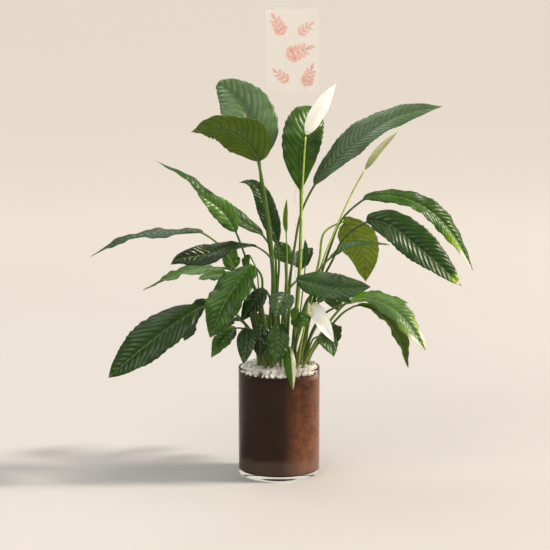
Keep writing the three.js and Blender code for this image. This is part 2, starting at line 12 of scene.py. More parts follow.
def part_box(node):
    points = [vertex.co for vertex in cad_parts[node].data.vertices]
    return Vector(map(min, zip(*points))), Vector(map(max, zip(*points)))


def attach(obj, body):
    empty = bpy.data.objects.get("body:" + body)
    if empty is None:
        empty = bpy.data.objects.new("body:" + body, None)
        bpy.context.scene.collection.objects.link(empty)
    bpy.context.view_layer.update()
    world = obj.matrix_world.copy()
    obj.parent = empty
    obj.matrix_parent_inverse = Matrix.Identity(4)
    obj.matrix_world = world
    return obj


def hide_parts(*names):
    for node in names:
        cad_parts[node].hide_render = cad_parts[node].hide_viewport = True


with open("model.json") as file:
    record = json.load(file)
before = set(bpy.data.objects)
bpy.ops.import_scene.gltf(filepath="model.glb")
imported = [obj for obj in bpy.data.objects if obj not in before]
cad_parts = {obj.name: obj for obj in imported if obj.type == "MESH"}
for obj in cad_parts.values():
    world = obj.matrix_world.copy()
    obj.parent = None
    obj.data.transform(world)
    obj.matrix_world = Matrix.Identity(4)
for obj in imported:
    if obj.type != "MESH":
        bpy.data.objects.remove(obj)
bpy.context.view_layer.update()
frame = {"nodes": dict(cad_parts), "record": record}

MM = 0.001

# ---- The camera and the light ---------------------------------------------------------
CAMERA_PLACE = (-0.0075, -3.68, 0.95)
CAMERA_PITCH = 8.92          # degrees below level
CAMERA_LENS = 133.2          # mm on a 36 mm frame

view = bpy.data.cameras.new("view_camera")
view.lens = CAMERA_LENS
view.sensor_width = 36
view.clip_end = 300
camera = bpy.data.objects.new("view_camera", view)
camera.location = CAMERA_PLACE
camera.rotation_euler = (math.radians(90 - CAMERA_PITCH), 0, 0)
bpy.context.scene.collection.objects.link(camera)
bpy.context.scene.camera = camera


def srgb(code):
    """A hex colour as the linear values that a shader takes."""
    parts = [int(code[i:i + 2], 16) / 255 for i in (1, 3, 5)]
    linear = [p / 12.92 if p <= 0.04045 else ((p + 0.055) / 1.055) ** 2.4 for p in parts]
    return (*linear, 1)


def softbox(name, place, aim, size, power, colour):
    """A rectangular studio lamp that points at aim."""
    lamp = bpy.data.lights.new(name, "AREA")
    lamp.shape = "RECTANGLE"
    lamp.size, lamp.size_y = size
    lamp.energy = power
    lamp.color = srgb(colour)[:3]
    holder = bpy.data.objects.new(name, lamp)
    holder.location = place
    holder.rotation_euler = (Vector(aim) - Vector(place)).to_track_quat("-Z", "Y").to_euler()
    bpy.context.scene.collection.objects.link(holder)


sun = bpy.data.lights.new("key_light", "SUN")
sun.energy = 4.8
sun.angle = math.radians(8)
sun.color = srgb("#fff1de")[:3]
sun_holder = bpy.data.objects.new("key_light", sun)
sun_holder.rotation_euler = Vector((-0.75, 0.02, -0.66)).to_track_quat("-Z", "Y").to_euler()
bpy.context.scene.collection.objects.link(sun_holder)
softbox("right_softbox", (3.5, 0.15, 2.0), (0, 0, 0.35), (1.1, 2.4), 104, "#fff2e0")
softbox("top_softbox", (-0.5, 0.9, 2.2), (0, 0, 0.5), (1.4, 0.9), 24, "#f4f6fb")
softbox("front_softbox", (-0.7, -1.7, 2.4), (0, 0, 0.5), (1.5, 1.5), 42, "#fdf8f0")
softbox("left_strip", (-2.2, -1.1, 0.7), (0, 0, 0.3), (0.4, 1.6), 9, "#fbf6ee")

bpy.context.scene.view_settings.view_transform = "Standard"


# ---- Shader tools ---------------------------------------------------------------------
def part(tree, kind, inputs=(), **settings):
    """Adds one node, with its settings, its values and its links. A node given as a value
    is linked by its first live output."""
    made = tree.nodes.new(kind)
    for key, value in settings.items():
        setattr(made, key, value)
    for key, value in dict(inputs).items():
        if isinstance(value, bpy.types.Node):
            value = next(output for output in value.outputs if output.enabled)
        if isinstance(value, bpy.types.NodeSocket):
            tree.links.new(value, made.inputs[key])
        else:
            made.inputs[key].default_value = value
    return made


def blank(name):
    """A material with an empty node tree, and the way to add a node to it."""
    made = bpy.data.materials.new(name)
    made.use_nodes = True
    made.node_tree.nodes.clear()
    return made, functools.partial(part, made.node_tree)


def colour_stops(ramp, stops):
    """Sets a colour ramp's stops from (place, hex) pairs."""
    stops, held = list(stops), ramp.color_ramp.elements
    while len(held) < len(stops):
        held.new(0.5)
    for element, (place, code) in zip(held, stops):
        element.position = place
        element.color = srgb(code)


SMOOTH = {"interpolation_type": "SMOOTHSTEP"}
COLOURS = {"data_type": "RGBA"}


FILL_STRENGTH = 0.45


def studio_world():
    """A pale studio: bright where it is looked at, straight or through glass, and dimmer as
    a fill, so that the key light keeps its shape."""
    made = bpy.data.worlds.new("pale_studio")
    made.use_nodes = True
    made.node_tree.nodes.clear()
    put = functools.partial(part, made.node_tree)
    path = put("ShaderNodeLightPath")
    fill = put("ShaderNodeBackground", {"Color": srgb("#f3efe4"), "Strength": FILL_STRENGTH})
    wall = put("ShaderNodeBackground", {"Color": srgb("#ebe1d3"), "Strength": 1.0})
    seen = put("ShaderNodeMath", {
        0: path.outputs["Is Camera Ray"], 1: path.outputs["Is Transmission Ray"]},
        operation="MAXIMUM")
    both = put("ShaderNodeMixShader", {0: seen, 1: fill, 2: wall})
    put("ShaderNodeOutputWorld", {"Surface": both})
    bpy.context.scene.world = made


studio_world()

# Each node's slot, as the record gives it.
SLOT_OF = {entry["node"]: entry["material_slot"] for entry in frame["record"]["subparts"]}

# ---- Leaf finishes --------------------------------------------------------------------
VEIN_PITCH = 16.0            # mm between side veins along a full leaf
LEAF_THICKNESS = 0.45        # mm
GROOVE = 0.9                 # mm that the midrib is sunk on the upper side
QUILT = 0.85                 # mm that a full leaf rises between its side veins
YOUNG_QUILT = 0.5
SCALLOP = 0.022              # share of its half-width by which a blade's edge goes in and out

UPPER_GREENS = [(0, "#112607"), (0.3, "#26480c"), (0.62, "#4b7a14"), (1, "#84a02b")]
UNDER_GREENS = [(0, "#253b10"), (0.3, "#405c18"), (0.62, "#688024"), (1, "#9cac3b")]
DARK_VEINS, OLIVE_VEINS = "#0b1705", "#2e3a15"
# The first colour here is the grey of a painted sheen. It stands in for a broad reflection on a
# leaf's face.
SHEEN_PAINT_GREY, RIB_GREEN, BACKLIT_GREEN = "#6f8368", "#6d8734", "#86a618"
# The first colour here is the white of bleaching on some leaves and of a painted highlight on
# others.
BLEACH_AND_HIGHLIGHT_WHITE, BURNT_TIP = "#dddac6", "#8f784b"


def leaf_finish(name, greens, veins, inked, gloss, vein_depth, midrib):
    """Peace lily leaf, a living lamina with a waxy skin: deep green that shines in streaks
    between its sunken, darker side veins, a paler midrib, a tip that goes to straw, and a
    warm glow where lit from behind. A painted sheen greys some leaves, and a tone over 1 is
    whitened: bleached on some leaves, a painted highlight on others."""
    made, put = blank(name)
    place = put("ShaderNodeTexCoord").outputs["Object"]
    tone = put("ShaderNodeAttribute", attribute_name="tone").outputs["Fac"]
    vein = put("ShaderNodeAttribute", attribute_name="vein").outputs["Fac"]
    across = put("ShaderNodeAttribute", attribute_name="across").outputs["Fac"]
    along = put("ShaderNodeAttribute", attribute_name="along").outputs["Fac"]
    patches = put("ShaderNodeTexNoise", {"Vector": place, "Scale": 1 / (26 * MM), "Detail": 4})
    uneven = put("ShaderNodeMath", {0: patches, 1: 0.4, 2: -0.2}, operation="MULTIPLY_ADD")
    shade = put("ShaderNodeMath", {0: tone, 1: uneven}, operation="ADD")
    body = put("ShaderNodeValToRGB", {0: shade})
    colour_stops(body, greens)
    # Painted sheen: on the leaves listed for it, the body colour is pulled towards grey in place
    # of a reflection.
    haze_and_sheen = put("ShaderNodeAttribute", attribute_name="haze_and_sheen").outputs["Fac"]
    body = put("ShaderNodeMix", {0: haze_and_sheen, 6: body, 7: srgb(SHEEN_PAINT_GREY)}, **COLOURS)
    phase = put("ShaderNodeMath", {0: vein}, operation="FRACT")
    off_middle = put("ShaderNodeMath", {0: phase, 1: 0.5}, operation="SUBTRACT")
    vein_near = put("ShaderNodeMath", {0: off_middle}, operation="ABSOLUTE")
    furrow = put("ShaderNodeMapRange", {0: vein_near, 1: 0.36, 2: 0.5, 4: inked}, **SMOOTH)
    body = put("ShaderNodeMix", {0: furrow, 6: body, 7: srgb(veins)}, **COLOURS)
    off_rib = put("ShaderNodeMath", {0: across}, operation="ABSOLUTE")
    rib = put("ShaderNodeMapRange", {0: off_rib, 1: 0.4, 2: 1.5, 3: midrib, 4: 0}, **SMOOTH)
    body = put("ShaderNodeMix", {0: rib, 6: body, 7: srgb(RIB_GREEN)}, **COLOURS)
    # A tone over 1.1 goes white: bleaching on some leaves, a painted highlight on others.
    bleach_and_highlight_share = put("ShaderNodeMapRange", {0: shade, 1: 1.1, 2: 1.6}, **SMOOTH)
    body = put("ShaderNodeMix", {0: bleach_and_highlight_share, 6: body, 7: srgb(BLEACH_AND_HIGHLIGHT_WHITE)}, **COLOURS)
    burnt = put("ShaderNodeMapRange", {0: along, 1: 0.97, 2: 0.99}, **SMOOTH)
    body = put("ShaderNodeMix", {0: burnt, 6: body, 7: srgb(BURNT_TIP)}, **COLOURS)
    skin_grain = put("ShaderNodeTexNoise", {"Vector": place, "Scale": 1 / (2.2 * MM)})
    square = put("ShaderNodeMath", {0: vein_near, 1: 2.0}, operation="POWER")
    swell = put("ShaderNodeMapRange", {0: patches, 1: 0.3, 2: 0.65, 3: -1.6, 4: -4.4}, **SMOOTH)
    pillow = put("ShaderNodeMath", {0: square, 1: swell, 2: 1.0}, operation="MULTIPLY_ADD")
    height = put("ShaderNodeMath", {0: skin_grain, 1: 0.16, 2: pillow}, operation="MULTIPLY_ADD")
    bump = put("ShaderNodeBump", {"Strength": 1.0, "Distance": vein_depth * MM, "Height": height})
    worn = put("ShaderNodeTexNoise", {"Vector": place, "Scale": 1 / (9 * MM), "Detail": 3})
    rough = put("ShaderNodeMath", {0: worn, 1: 0.2, 2: gloss}, operation="MULTIPLY_ADD")
    skin = put("ShaderNodeBsdfPrincipled", {
        "Base Color": body, "Roughness": rough, "IOR": 1.5, "Specular IOR Level": 0.34,
        "Normal": bump})
    green = put("ShaderNodeMapRange", {0: bleach_and_highlight_share, 3: 0.5, 4: 0}, **SMOOTH)
    lit = put("ShaderNodeMix", {0: green, 6: body, 7: srgb(BACKLIT_GREEN)}, **COLOURS)
    glow = put("ShaderNodeBsdfTranslucent", {"Color": lit, "Normal": bump})
    both = put("ShaderNodeMixShader", {0: 0.3, 1: skin, 2: glow})
    put("ShaderNodeOutputMaterial", {"Surface": both})
    return made


def stem_finish(name, stops):
    """Petiole or flower stalk, smooth and fleshy: paler where it stands in the chips, with
    long faint streaks and a soft shine."""
    made, put = blank(name)
    place = put("ShaderNodeTexCoord").outputs["Object"]
    tone = put("ShaderNodeAttribute", attribute_name="tone").outputs["Fac"]
    along = put("ShaderNodeAttribute", attribute_name="along").outputs["Fac"]
    body = put("ShaderNodeValToRGB", {0: tone})
    colour_stops(body, stops)
    patches = put("ShaderNodeTexNoise", {"Vector": place, "Scale": 1 / (7 * MM), "Detail": 4})
    streak = put("ShaderNodeMapRange", {0: patches, 1: 0.35, 2: 0.7, 4: 0.45}, **SMOOTH)
    body = put("ShaderNodeMix", {0: streak, 6: body, 7: srgb("#46621a")}, **COLOURS)
    pale = put("ShaderNodeMapRange", {0: along, 2: 0.26, 3: 0.6, 4: 0}, **SMOOTH)
    body = put("ShaderNodeMix", {0: pale, 6: body, 7: srgb("#98a25a")}, **COLOURS)
    ridges = put("ShaderNodeTexNoise", {"Vector": place, "Scale": 1 / (1.5 * MM)})
    bump = put("ShaderNodeBump", {"Strength": 0.3, "Distance": 0.3 * MM, "Height": ridges})
    skin = put("ShaderNodeBsdfPrincipled", {
        "Base Color": body, "Roughness": 0.36, "IOR": 1.45, "Specular IOR Level": 0.4,
        "Normal": bump})
    put("ShaderNodeOutputMaterial", {"Surface": skin})
    return made


def spathe_finish(name, stops, veins):
    """Spathe, a thin waxy white bract: it glows where lit, with faint green lines that run
    from its stalk to its point."""
    made, put = blank(name)
    across = put("ShaderNodeAttribute", attribute_name="across").outputs["Fac"]
    along = put("ShaderNodeAttribute", attribute_name="along").outputs["Fac"]
    body = put("ShaderNodeValToRGB", {0: along})
    colour_stops(body, stops)
    turn = put("ShaderNodeMath", {0: across, 1: 1.4}, operation="MULTIPLY")
    wave = put("ShaderNodeMath", {0: turn}, operation="SINE")
    stripe = put("ShaderNodeMath", {0: wave}, operation="ABSOLUTE")
    line = put("ShaderNodeMapRange", {0: stripe, 1: 0.25, 2: 0, 3: 0, 4: veins}, **SMOOTH)
    body = put("ShaderNodeMix", {0: line, 6: body, 7: srgb("#b9c98a")}, **COLOURS)
    bump = put("ShaderNodeBump", {"Strength": 0.5, "Distance": 0.4 * MM, "Height": stripe})
    skin = put("ShaderNodeBsdfPrincipled", {
        "Base Color": body, "Roughness": 0.4, "IOR": 1.4, "Normal": bump})
    glow = put("ShaderNodeBsdfTranslucent", {"Color": body})
    both = put("ShaderNodeMixShader", {0: 0.45, 1: skin, 2: glow})
    put("ShaderNodeOutputMaterial", {"Surface": both})
    return made


MATURE_UPPER = leaf_finish("waxy_leaf_upper", UPPER_GREENS, DARK_VEINS, 0.32, 0.25, 0.6, 0.3)
MATURE_UNDER = leaf_finish("waxy_leaf_underside", UNDER_GREENS, OLIVE_VEINS, 0.85, 0.36, 0.7, 0.7)
YOUNG_UPPER = leaf_finish("young_leaf_upper", UPPER_GREENS, DARK_VEINS, 0.4, 0.2, 0.6, 0.4)
YOUNG_UNDER = leaf_finish("young_leaf_underside", UNDER_GREENS, OLIVE_VEINS, 0.7, 0.34, 0.5, 0.7)
PETIOLE = stem_finish("fleshy_petiole", [(0, "#1a2d0b"), (0.5, "#48661c"), (1, "#849a3e")])
FLOWER_STALK = stem_finish("flower_stalk_skin", [(0, "#587827"), (1, "#b3c95c")])
WHITE_SPATHE = spathe_finish("white_spathe_skin", [
    (0, "#d7dfae"), (0.1, "#fdfdf9"), (0.92, "#ffffff"), (1, "#e9ebd2")], 0.08)
YOUNG_SPATHE = spathe_finish("young_spathe_skin", [
    (0, "#b0be7c"), (0.4, "#ebedca"), (1, "#f5f4de")], 0.35)


# ---- Reading the frame's leaves -------------------------------------------------------
# A leaf in the frame is a run of six-sided rings: six round ones up its petiole, then ten
# flat ones along its blade, at these shares of the blade's length.
STATIONS = (0.03, 0.09, 0.18, 0.29, 0.41, 0.54, 0.67, 0.79, 0.89, 0.96)
BLADE_EDGE = 0.4 * MM        # half the frame's blade thickness
FOOT_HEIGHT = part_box("flower_stalk_1")[0][2]


def rings_of(name, is_foot):
    """The points of a ringed piece, as its foot, its rings in order, and its tip."""
    work = bmesh.new()
    work.from_mesh(bpy.data.objects[name].data)
    bmesh.ops.remove_doubles(work, verts=work.verts, dist=0.005 * MM)

    def spread(start):
        levels, seen = [[start]], {start}
        while levels[-1]:
            reach = []
            for vertex in levels[-1]:
                for edge in vertex.link_edges:
                    other = edge.other_vert(vertex)
                    if other not in seen:
                        seen.add(other)
                        reach.append(other)
            levels.append(reach)
        return levels[:-1]

    work.verts.ensure_lookup_table()
    one_end = spread(work.verts[0])[-1][0]
    levels = spread(one_end)
    if is_foot(levels[-1][0].co) < is_foot(one_end.co):
        levels = spread(levels[-1][0])
    rings = []
    for level in levels[1:-1]:
        ring, left = [level[0]], set(level[1:])
        while left:
            linked = [e.other_vert(ring[-1]) for e in ring[-1].link_edges]
            nearby = [v for v in linked if v in left]
            ring.append(nearby[0])
            left.remove(nearby[0])
        rings.append([v.co.copy() for v in ring])
    ends = levels[0][0].co.copy(), levels[-1][0].co.copy()
    work.free()
    return ends[0], rings, ends[1]


def middle(points):
    """The mean of some points."""
    return sum(points, Vector()) / len(points)


def blade_section(ring):
    """A blade ring's upper midline, its face, its two edges and its fold."""
    sides = [(ring[i] - ring[(i + 1) % 6]).length for i in range(6)]
    first = min(range(3), key=lambda i: sides[i] + sides[i + 3])
    edges = [middle([ring[first + k], ring[(first + 1 + k) % 6]]) for k in (0, 3)]
    spine = [ring[(first + 2) % 6], ring[(first + 5) % 6]]
    chord = middle(edges)
    upper, keel = sorted(spine, key=lambda p: (p - chord).length)
    face = (upper - keel).normalized()
    half = (edges[0] - edges[1]).length / 2
    lift = (chord - upper).dot(face) + BLADE_EDGE
    return upper, face, edges, math.hypot(half, lift), math.atan2(lift, half)


BASE_POWER, TIP_POWER = 0.72, 1.05       # how roundly the frame's blades open and close
WIDEST, NARROWING = 0.4068, 0.5932       # where those powers put the widest place
FULL_TIP_POWER = 0.85                    # how roundly a grown blade closes


def outline(t):
    """Half-width of a blade along its length: round at its base, drawn out to a point."""
    peak = WIDEST ** BASE_POWER * NARROWING ** TIP_POWER
    return (t ** BASE_POWER * (1 - t) ** TIP_POWER) / peak


def full_outline(t, belly):
    """The outline of a grown blade: widest at belly, fuller ahead of that, then a thin tip."""
    rise = FULL_TIP_POWER * belly / (1 - belly)
    peak = belly ** rise * (1 - belly) ** FULL_TIP_POWER
    drawn_out = 1 - 0.55 * math.exp((t - 1) / 0.035)
    return t ** rise * (1 - t) ** FULL_TIP_POWER / peak * drawn_out


def follow(marks, values, s):
    """A smooth line through values that stand at marks, read at s."""
    last = len(marks) - 2
    i = 0
    while i < last and s > marks[i + 1]:
        i += 1

    def slope(k):
        a, b = max(0, k - 1), min(len(marks) - 1, k + 1)
        return (values[b] - values[a]) / (marks[b] - marks[a])

    span = marks[i + 1] - marks[i]
    u = (s - marks[i]) / span
    h1, h2 = 2 * u ** 3 - 3 * u ** 2 + 1, u ** 3 - 2 * u ** 2 + u
    h3, h4 = 3 * u ** 2 - 2 * u ** 3, u ** 3 - u ** 2
    near_end = values[i] * h1 + slope(i) * (span * h2)
    return near_end + values[i + 1] * h3 + slope(i + 1) * (span * h4)


PETIOLE_RINGS = 6


def read_leaf(name, is_foot, petiole_rings=PETIOLE_RINGS):
    """The line of a leaf and what its blade does along it."""
    foot, rings, tip = rings_of(name, is_foot)
    stalk, blade = rings[:petiole_rings], rings[petiole_rings:]
    sections = [blade_section(ring) for ring in blade]
    points = [middle(ring) for ring in stalk] + [s[0] for s in sections] + [tip]
    if petiole_rings == 0:
        points.insert(0, foot)
    marks = [0.0]
    for a, b in zip(points, points[1:]):
        marks.append(marks[-1] + (b - a).length)
    first = len(points) - 1 - len(sections)
    station_marks = marks[first:-1]
    run = (station_marks[-1] - station_marks[0]) / (STATIONS[-1] - STATIONS[0])
    start = max(0.0, station_marks[0] - run * STATIONS[0])
    middling = range(3, 7)       # the rings whose width is the surest
    half = sum(sections[i][3] / outline(STATIONS[i]) for i in middling) / len(middling)
    return {
        "points": points, "marks": marks, "start": start, "length": marks[-1] - start,
        "face_marks": station_marks, "faces": [s[1] for s in sections],
        "folds": [s[4] for s in sections], "half": half,
        "radii": [(ring[0] - middle(ring)).length for ring in stalk],
    }


def frame_on(leaf, s):
    """Place, direction, face and side of a leaf's line at the distance s along it."""
    place = follow(leaf["marks"], leaf["points"], s)
    step = 0.5 * MM
    behind, ahead = [follow(leaf["marks"], leaf["points"], min(max(s + d, 0), leaf["marks"][-1]))
                     for d in (-step, step)]
    along = ahead - behind
    along.normalize()
    held = min(max(s, leaf["face_marks"][0]), leaf["face_marks"][-1])
    face = follow(leaf["face_marks"], leaf["faces"], held)
    face = (face - along * face.dot(along)).normalized()
    return place, along, face, along.cross(face)


# ---- Modelling tools ------------------------------------------------------------------
def let_go():
    """Deselects everything."""
    for other in bpy.context.selected_objects:
        other.select_set(False)


def take(*objects):
    """Selects these objects alone, the first of them active."""
    let_go()
    for one in objects:
        one.select_set(True)
    bpy.context.view_layer.objects.active = objects[0]
    return objects[0]


def edit(*steps):
    """Runs edit-mode steps on the whole of the active mesh."""
    bpy.ops.object.mode_set(mode="EDIT")
    bpy.ops.mesh.select_all(action="SELECT")
    for step in steps:
        step()
    bpy.ops.object.mode_set(mode="OBJECT")


def finish_with(piece, kind, **settings):
    """Adds a modifier and applies it."""
    take(piece)
    added = piece.modifiers.new(kind.lower(), kind)
    for key, value in settings.items():
        setattr(added, key, value)
    bpy.ops.object.modifier_apply(modifier=added.name)


def carry(piece, name, values):
    """Writes a number on each point of a mesh."""
    layer = piece.data.attributes.new(name, "FLOAT", "POINT")
    layer.data.foreach_set("value", values)


def settle(piece, name, node):
    """Names a finished piece, which stands for a node of the frame; hangs it from the root and
    hides that node.
    """
    piece.name = piece.data.name = name
    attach(piece, "root")
    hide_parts(node)


def rod(points, radii, tone, finish):
    """A round stem through points, with a radius at each and closed ends."""
    data = bpy.data.curves.new("rod", "CURVE")
    data.dimensions = "3D"
    line = data.splines.new("POLY")
    line.points.add(len(points) - 1)
    for held, point, radius in zip(line.points, points, radii):
        held.co = (*point, 1)
        held.radius = radius
    data.bevel_depth = 1
    data.bevel_resolution = 1
    data.use_fill_caps = True
    made = bpy.data.objects.new("rod", data)
    bpy.context.scene.collection.objects.link(made)
    take(made)
    bpy.ops.object.convert(target="MESH")
    made = bpy.context.object
    edit(lambda: bpy.ops.mesh.remove_doubles(threshold=0.02 * MM),
         lambda: bpy.ops.mesh.normals_make_consistent(inside=False))
    low = points[0]
    reach = max((p - low).length for p in points)
    count = len(made.data.vertices)
    carry(made, "tone", [tone] * count)
    carry(made, "along", [(v.co - low).length / reach for v in made.data.vertices])
    carry(made, "across", [9.0] * count)
    carry(made, "vein", [0.5] * count)
    made.data.materials.append(finish)
    made.data.polygons.foreach_set("use_smooth", [True] * len(made.data.polygons))
    return made


# A fully whitened place gains this tone: bleaching on some leaves, a painted highlight on others.
WHITENING = 1.7              # tone that a fully bleached place gains


def bleach_and_highlight(patch, t, v):
    """How far a point of a blade has gone white (bleached on some leaves, a painted highlight on
    others), for a patch that starts at a share of the blade's length and of its half-width, on
    one side or (side 0) both."""
    start, inner, side = patch
    if side and v * side < 0:
        return 0.0
    return max(0.0, (t - start) / (1 - start)) * min(1.0, max(0.0, (abs(v) - inner) * 4))


ROW_STEP, COLUMN_STEP = 2.0, 3.4         # mm between a blade's grid lines
EDGE_WAVES, EDGE_FLUTTERS = (1.6, 3.4), (6, 9)       # along a blade, least and most
VEIN_LEAD, VEIN_HOOK = 0.75, 0.55        # how far side veins sweep forward, more at the edge
SPATHE_NECK = 1.2 * MM       # half-width of a blade that has no petiole, at its base
PUFF = 0.09                              # share of its half-width that a half-blade arches up
TAU = 2 * math.pi


def blade_sheet(leaf, draw, finishes, tone, curl, quilt, grain, cup=False, patch=(1, 0, 0),
                belly=0.0, haze_and_sheen=0.0):
    """A leaf's blade: a grid laid along the midrib's line, folded, quilted and waved."""
    rows = max(24, min(130, round(leaf["length"] / (ROW_STEP * MM))))
    columns = 2 * max(6, min(14, round(leaf["half"] / (COLUMN_STEP * MM))))
    let_go()
    bpy.ops.mesh.primitive_grid_add(x_subdivisions=columns, y_subdivisions=rows, size=2)
    sheet = bpy.context.object
    half_most, length = leaf["half"], leaf["length"]
    waves = [(draw.uniform(*EDGE_WAVES), draw.uniform(0, 6.28), draw.uniform(0.6, 1.0))
             for _ in range(2)]
    small = [(draw.uniform(*EDGE_FLUTTERS), draw.uniform(0, 6.28)) for _ in range(2)]
    lean = draw.uniform(-0.05, 0.05)
    stem = leaf["radii"][-1] if leaf["radii"] else SPATHE_NECK
    rows_done = {}
    vein, across, along, tones = [], [], [], []
    for vertex in sheet.data.vertices:
        v, t = vertex.co.x, min(1, max(0, (vertex.co.y + 1) / 2))
        key = round(t, 5)
        if key not in rows_done:
            s = leaf["start"] + t * length
            fold = follow(leaf["face_marks"], leaf["folds"],
                          min(max(s, leaf["face_marks"][0]), leaf["face_marks"][-1]))
            rows_done[key] = (*frame_on(leaf, s), fold)
        place, _, face, side, fold = rows_done[key]
        hand = 0 if v < 0 else 1
        shape = full_outline(t, belly) if belly else outline(t)
        wide = shape * half_most * (1 + lean * (1 if v > 0 else -1))
        wide = max(wide, stem * max(0, 1 - 6 * t))
        share = abs(v)
        reach = share * wide
        body = math.sin(math.pi * t) ** 0.5
        number, turn, strength = waves[hand]
        flutter, start = small[hand]
        margin = share ** 2.4 * body * 1.5 * curl * half_most
        wave = margin * strength * math.sin(TAU * number * t + turn)
        wave += 0.3 * margin * math.sin(TAU * flutter * t + start)
        lead = reach * (VEIN_LEAD + VEIN_HOOK * share)
        phase = (t * length - lead) / (grain * MM) + 0.3 * math.sin(9 * t + turn + start)
        reach *= 1 + SCALLOP * share ** 4 * math.sin(TAU * phase) * body
        pillow = 0.5 - 0.5 * math.cos(TAU * phase)
        fade = min(1, 5 * share) * (1 - share ** 6) * min(1, 8 * t) * min(1, 6 * (1 - t))
        if cup:
            rise = math.sin(fold) * wide * share ** 2
        else:
            rise = math.sin(fold) * reach + PUFF * wide * math.sin(math.pi * share ** 0.8)
            rise -= GROOVE * MM * math.exp(-(reach / (1.6 * MM)) ** 2) * (1 - t)
        rise += wave + quilt * MM * fade * pillow
        vertex.co = place + side * (math.copysign(1, v) * reach * math.cos(fold)) + face * rise
        vein.append(phase)
        # Whitening: bleaching, and on some leaves a painted highlight.
        white = WHITENING * bleach_and_highlight(patch, t, v) if t < 1 and patch[0] < 1 else 0
        tones.append(tone + white)
        across.append(v * wide / MM)
        along.append(t)
    carry(sheet, "vein", vein)
    carry(sheet, "across", across)
    carry(sheet, "along", along)
    carry(sheet, "tone", tones)
    # Painted sheen, one value per leaf.
    carry(sheet, "haze_and_sheen", [haze_and_sheen] * len(along))
    take(sheet)
    edit(lambda: bpy.ops.mesh.remove_doubles(threshold=0.01 * MM))
    for finish in finishes:
        sheet.data.materials.append(finish)
    finish_with(sheet, "SOLIDIFY", thickness=LEAF_THICKNESS * MM, offset=-1,
                material_offset=1 if len(finishes) > 1 else 0)
    sheet.data.polygons.foreach_set("use_smooth", [True] * len(sheet.data.polygons))
    return sheet


# ---- Leaves ---------------------------------------------------------------------------
# The green of each leaf, from 0, deepest, to 1, lime, and how strongly its edge waves. The
# lime end is partly painted light: leaves that light shines through are set lighter.
LEAF_TONES = {
    "leaf_top_back_left": (0.42, 0.05), "leaf_top_front_left": (0.5, 0.08),
    "leaf_top_centre": (0.36, 0.08), "leaf_top_right": (0.3, 0.08),
    "leaf_upright_back": (0.2, 0.08), "leaf_right_arching": (0.35, 0.17),
    "leaf_right_broad": (0.2, 0.07), "leaf_right_back_hanging": (0.92, 0.1),
    "leaf_right_back_level": (0.35, 0.06), "leaf_centre_right": (0.32, 0.07),
    "leaf_centre_right_under": (0.42, 0.06), "leaf_right_low_gloss": (0.5, 0.14),
    "leaf_right_low_behind": (0.6, 0.07), "leaf_right_low_hanging": (0.48, 0.08),
    "leaf_far_left": (0.22, 0.09), "leaf_left_second": (0.0, 0.07),
    "leaf_left_twisted": (0.34, 0.14), "leaf_left_lime": (0.56, 0.12),
    "leaf_left_olive": (0.66, 0.12), "leaf_left_olive_short": (0.7, 0.1),
    "leaf_left_gloss": (0.36, 0.12), "leaf_left_large": (0.2, 0.06),
    "leaf_left_large_behind": (0.14, 0.06), "leaf_left_tip_up": (0.55, 0.1),
    "leaf_left_hooked": (0.5, 0.1), "leaf_front_left_low": (0.42, 0.08),
    "leaf_front_left_dark": (0.14, 0.07), "leaf_front_centre_left": (0.08, 0.08),
    "leaf_front_centre": (0.3, 0.08), "leaf_front_dark": (0.06, 0.06),
    "leaf_front_grey_sheen": (0.18, 0.07), "leaf_over_rim": (0.42, 0.06),
    "leaf_front_right_small": (0.35, 0.08), "leaf_centre_lime_small": (0.72, 0.1),
    "leaf_centre_olive": (0.5, 0.1), "leaf_centre_bright": (0.85, 0.1),
    "leaf_centre_narrow": (0.45, 0.06), "leaf_centre_back": (0.4, 0.08),
}

# Petioles that are light throughout, and those with a green of their own.
PALE_STEMS = ("leaf_right_back_hanging", "leaf_right_low_gloss", "leaf_centre_narrow",
              "leaf_far_left")
STEM_TONES = {"leaf_top_back_left": 0.05, "leaf_top_front_left": 0.42, "leaf_top_right": 0.3,
              "leaf_top_centre": 0.35, "leaf_right_broad": 0.1, "leaf_left_second": 0.2,
              "leaf_right_arching": 0.12}

# Where a leaf has gone white: from which share of its length, from which share of its
# half-width, and on which side. The white is a painted highlight on the lit side of
# leaf_over_rim and on the glossy face of leaf_right_low_gloss.
WHITENED_PATCHES = {"leaf_right_broad": (0.86, -1, 0), "leaf_right_arching": (0.6, 0.1, 1),
            "leaf_over_rim": (-1.2, 0.12, -1), "leaf_right_low_gloss": (0.5, 0.35, 0)}

# Leaves that are widest somewhere else than most, and leaves with a painted greyish sheen.
BELLIES = {"leaf_top_back_left": 0, "leaf_top_front_left": 0.4, "leaf_top_centre": 0.56,
           "leaf_right_broad": 0.42, "leaf_left_large": 0.47}
PAINTED_SHEEN_LEAVES = {"leaf_top_back_left": 0.42, "leaf_top_right": 0.36, "leaf_front_grey_sheen": 0.12,
           "leaf_far_left": 0.2, "leaf_right_low_gloss": 0.3, "leaf_centre_right": 0.1,
           "leaf_left_olive": 0.35, "leaf_left_olive_short": 0.3, "leaf_left_lime": 0.15,
           "leaf_left_twisted": 0.15}


def at_foot(point):
    """How far a point is from the level at which the petioles stand."""
    return abs(point.z - FOOT_HEIGHT)


STEM_STEPS = 44
MIDRIB_END = 0.93            # share of the blade that the midrib runs along


